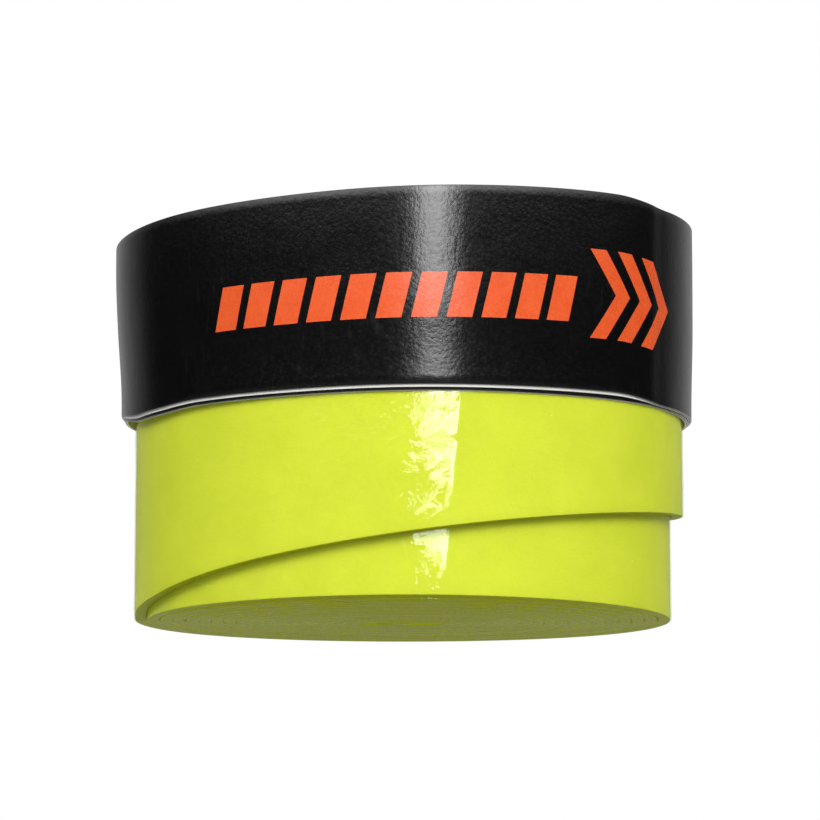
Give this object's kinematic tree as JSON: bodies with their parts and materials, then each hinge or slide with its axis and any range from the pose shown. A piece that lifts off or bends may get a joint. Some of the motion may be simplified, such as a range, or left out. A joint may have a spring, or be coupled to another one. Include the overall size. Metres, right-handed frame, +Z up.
{
  "type": "grip tape roll",
  "caption": "Coreless roll of soft racket overgrip tape with a tapered outer end, held closed by a slide-off band of printed finishing tape.",
  "frame": {"origin": "on the winding axis of the roll, on the surface that the roll stands on", "axes": "+Z up along the winding axis, +X to the right seen from the front, -Y the front, where the print is"},
  "size_m": [0.0384, 0.0382, 0.0256],
  "materials": {
    "grip_tape": "soft tacky polyurethane coat on non-woven cloth, fluorescent yellow-green",
    "clear_film": "thin clear release film, glossy, lightly wrinkled",
    "adhesive": "double-sided adhesive, translucent",
    "white_paper": "smooth coated release paper",
    "black_vinyl": "satin black vinyl with a fine pebble and orange print",
    "orange_print": "opaque orange ink"
  },
  "bodies": {
    "roll": {"grip_tape": "grip_tape", "release_film": "clear_film", "starter_adhesive": "adhesive", "starter_paper": "white_paper"},
    "band": {"finishing_tape": "black_vinyl", "finishing_tape_liner": "white_paper"}
  },
  "joints": [
    {"name": "band_slide", "type": "slide", "parent": "roll", "child": "band", "axis": [0, 0, 1], "range_m": [-0.0125, 0.016]}
  ]
}
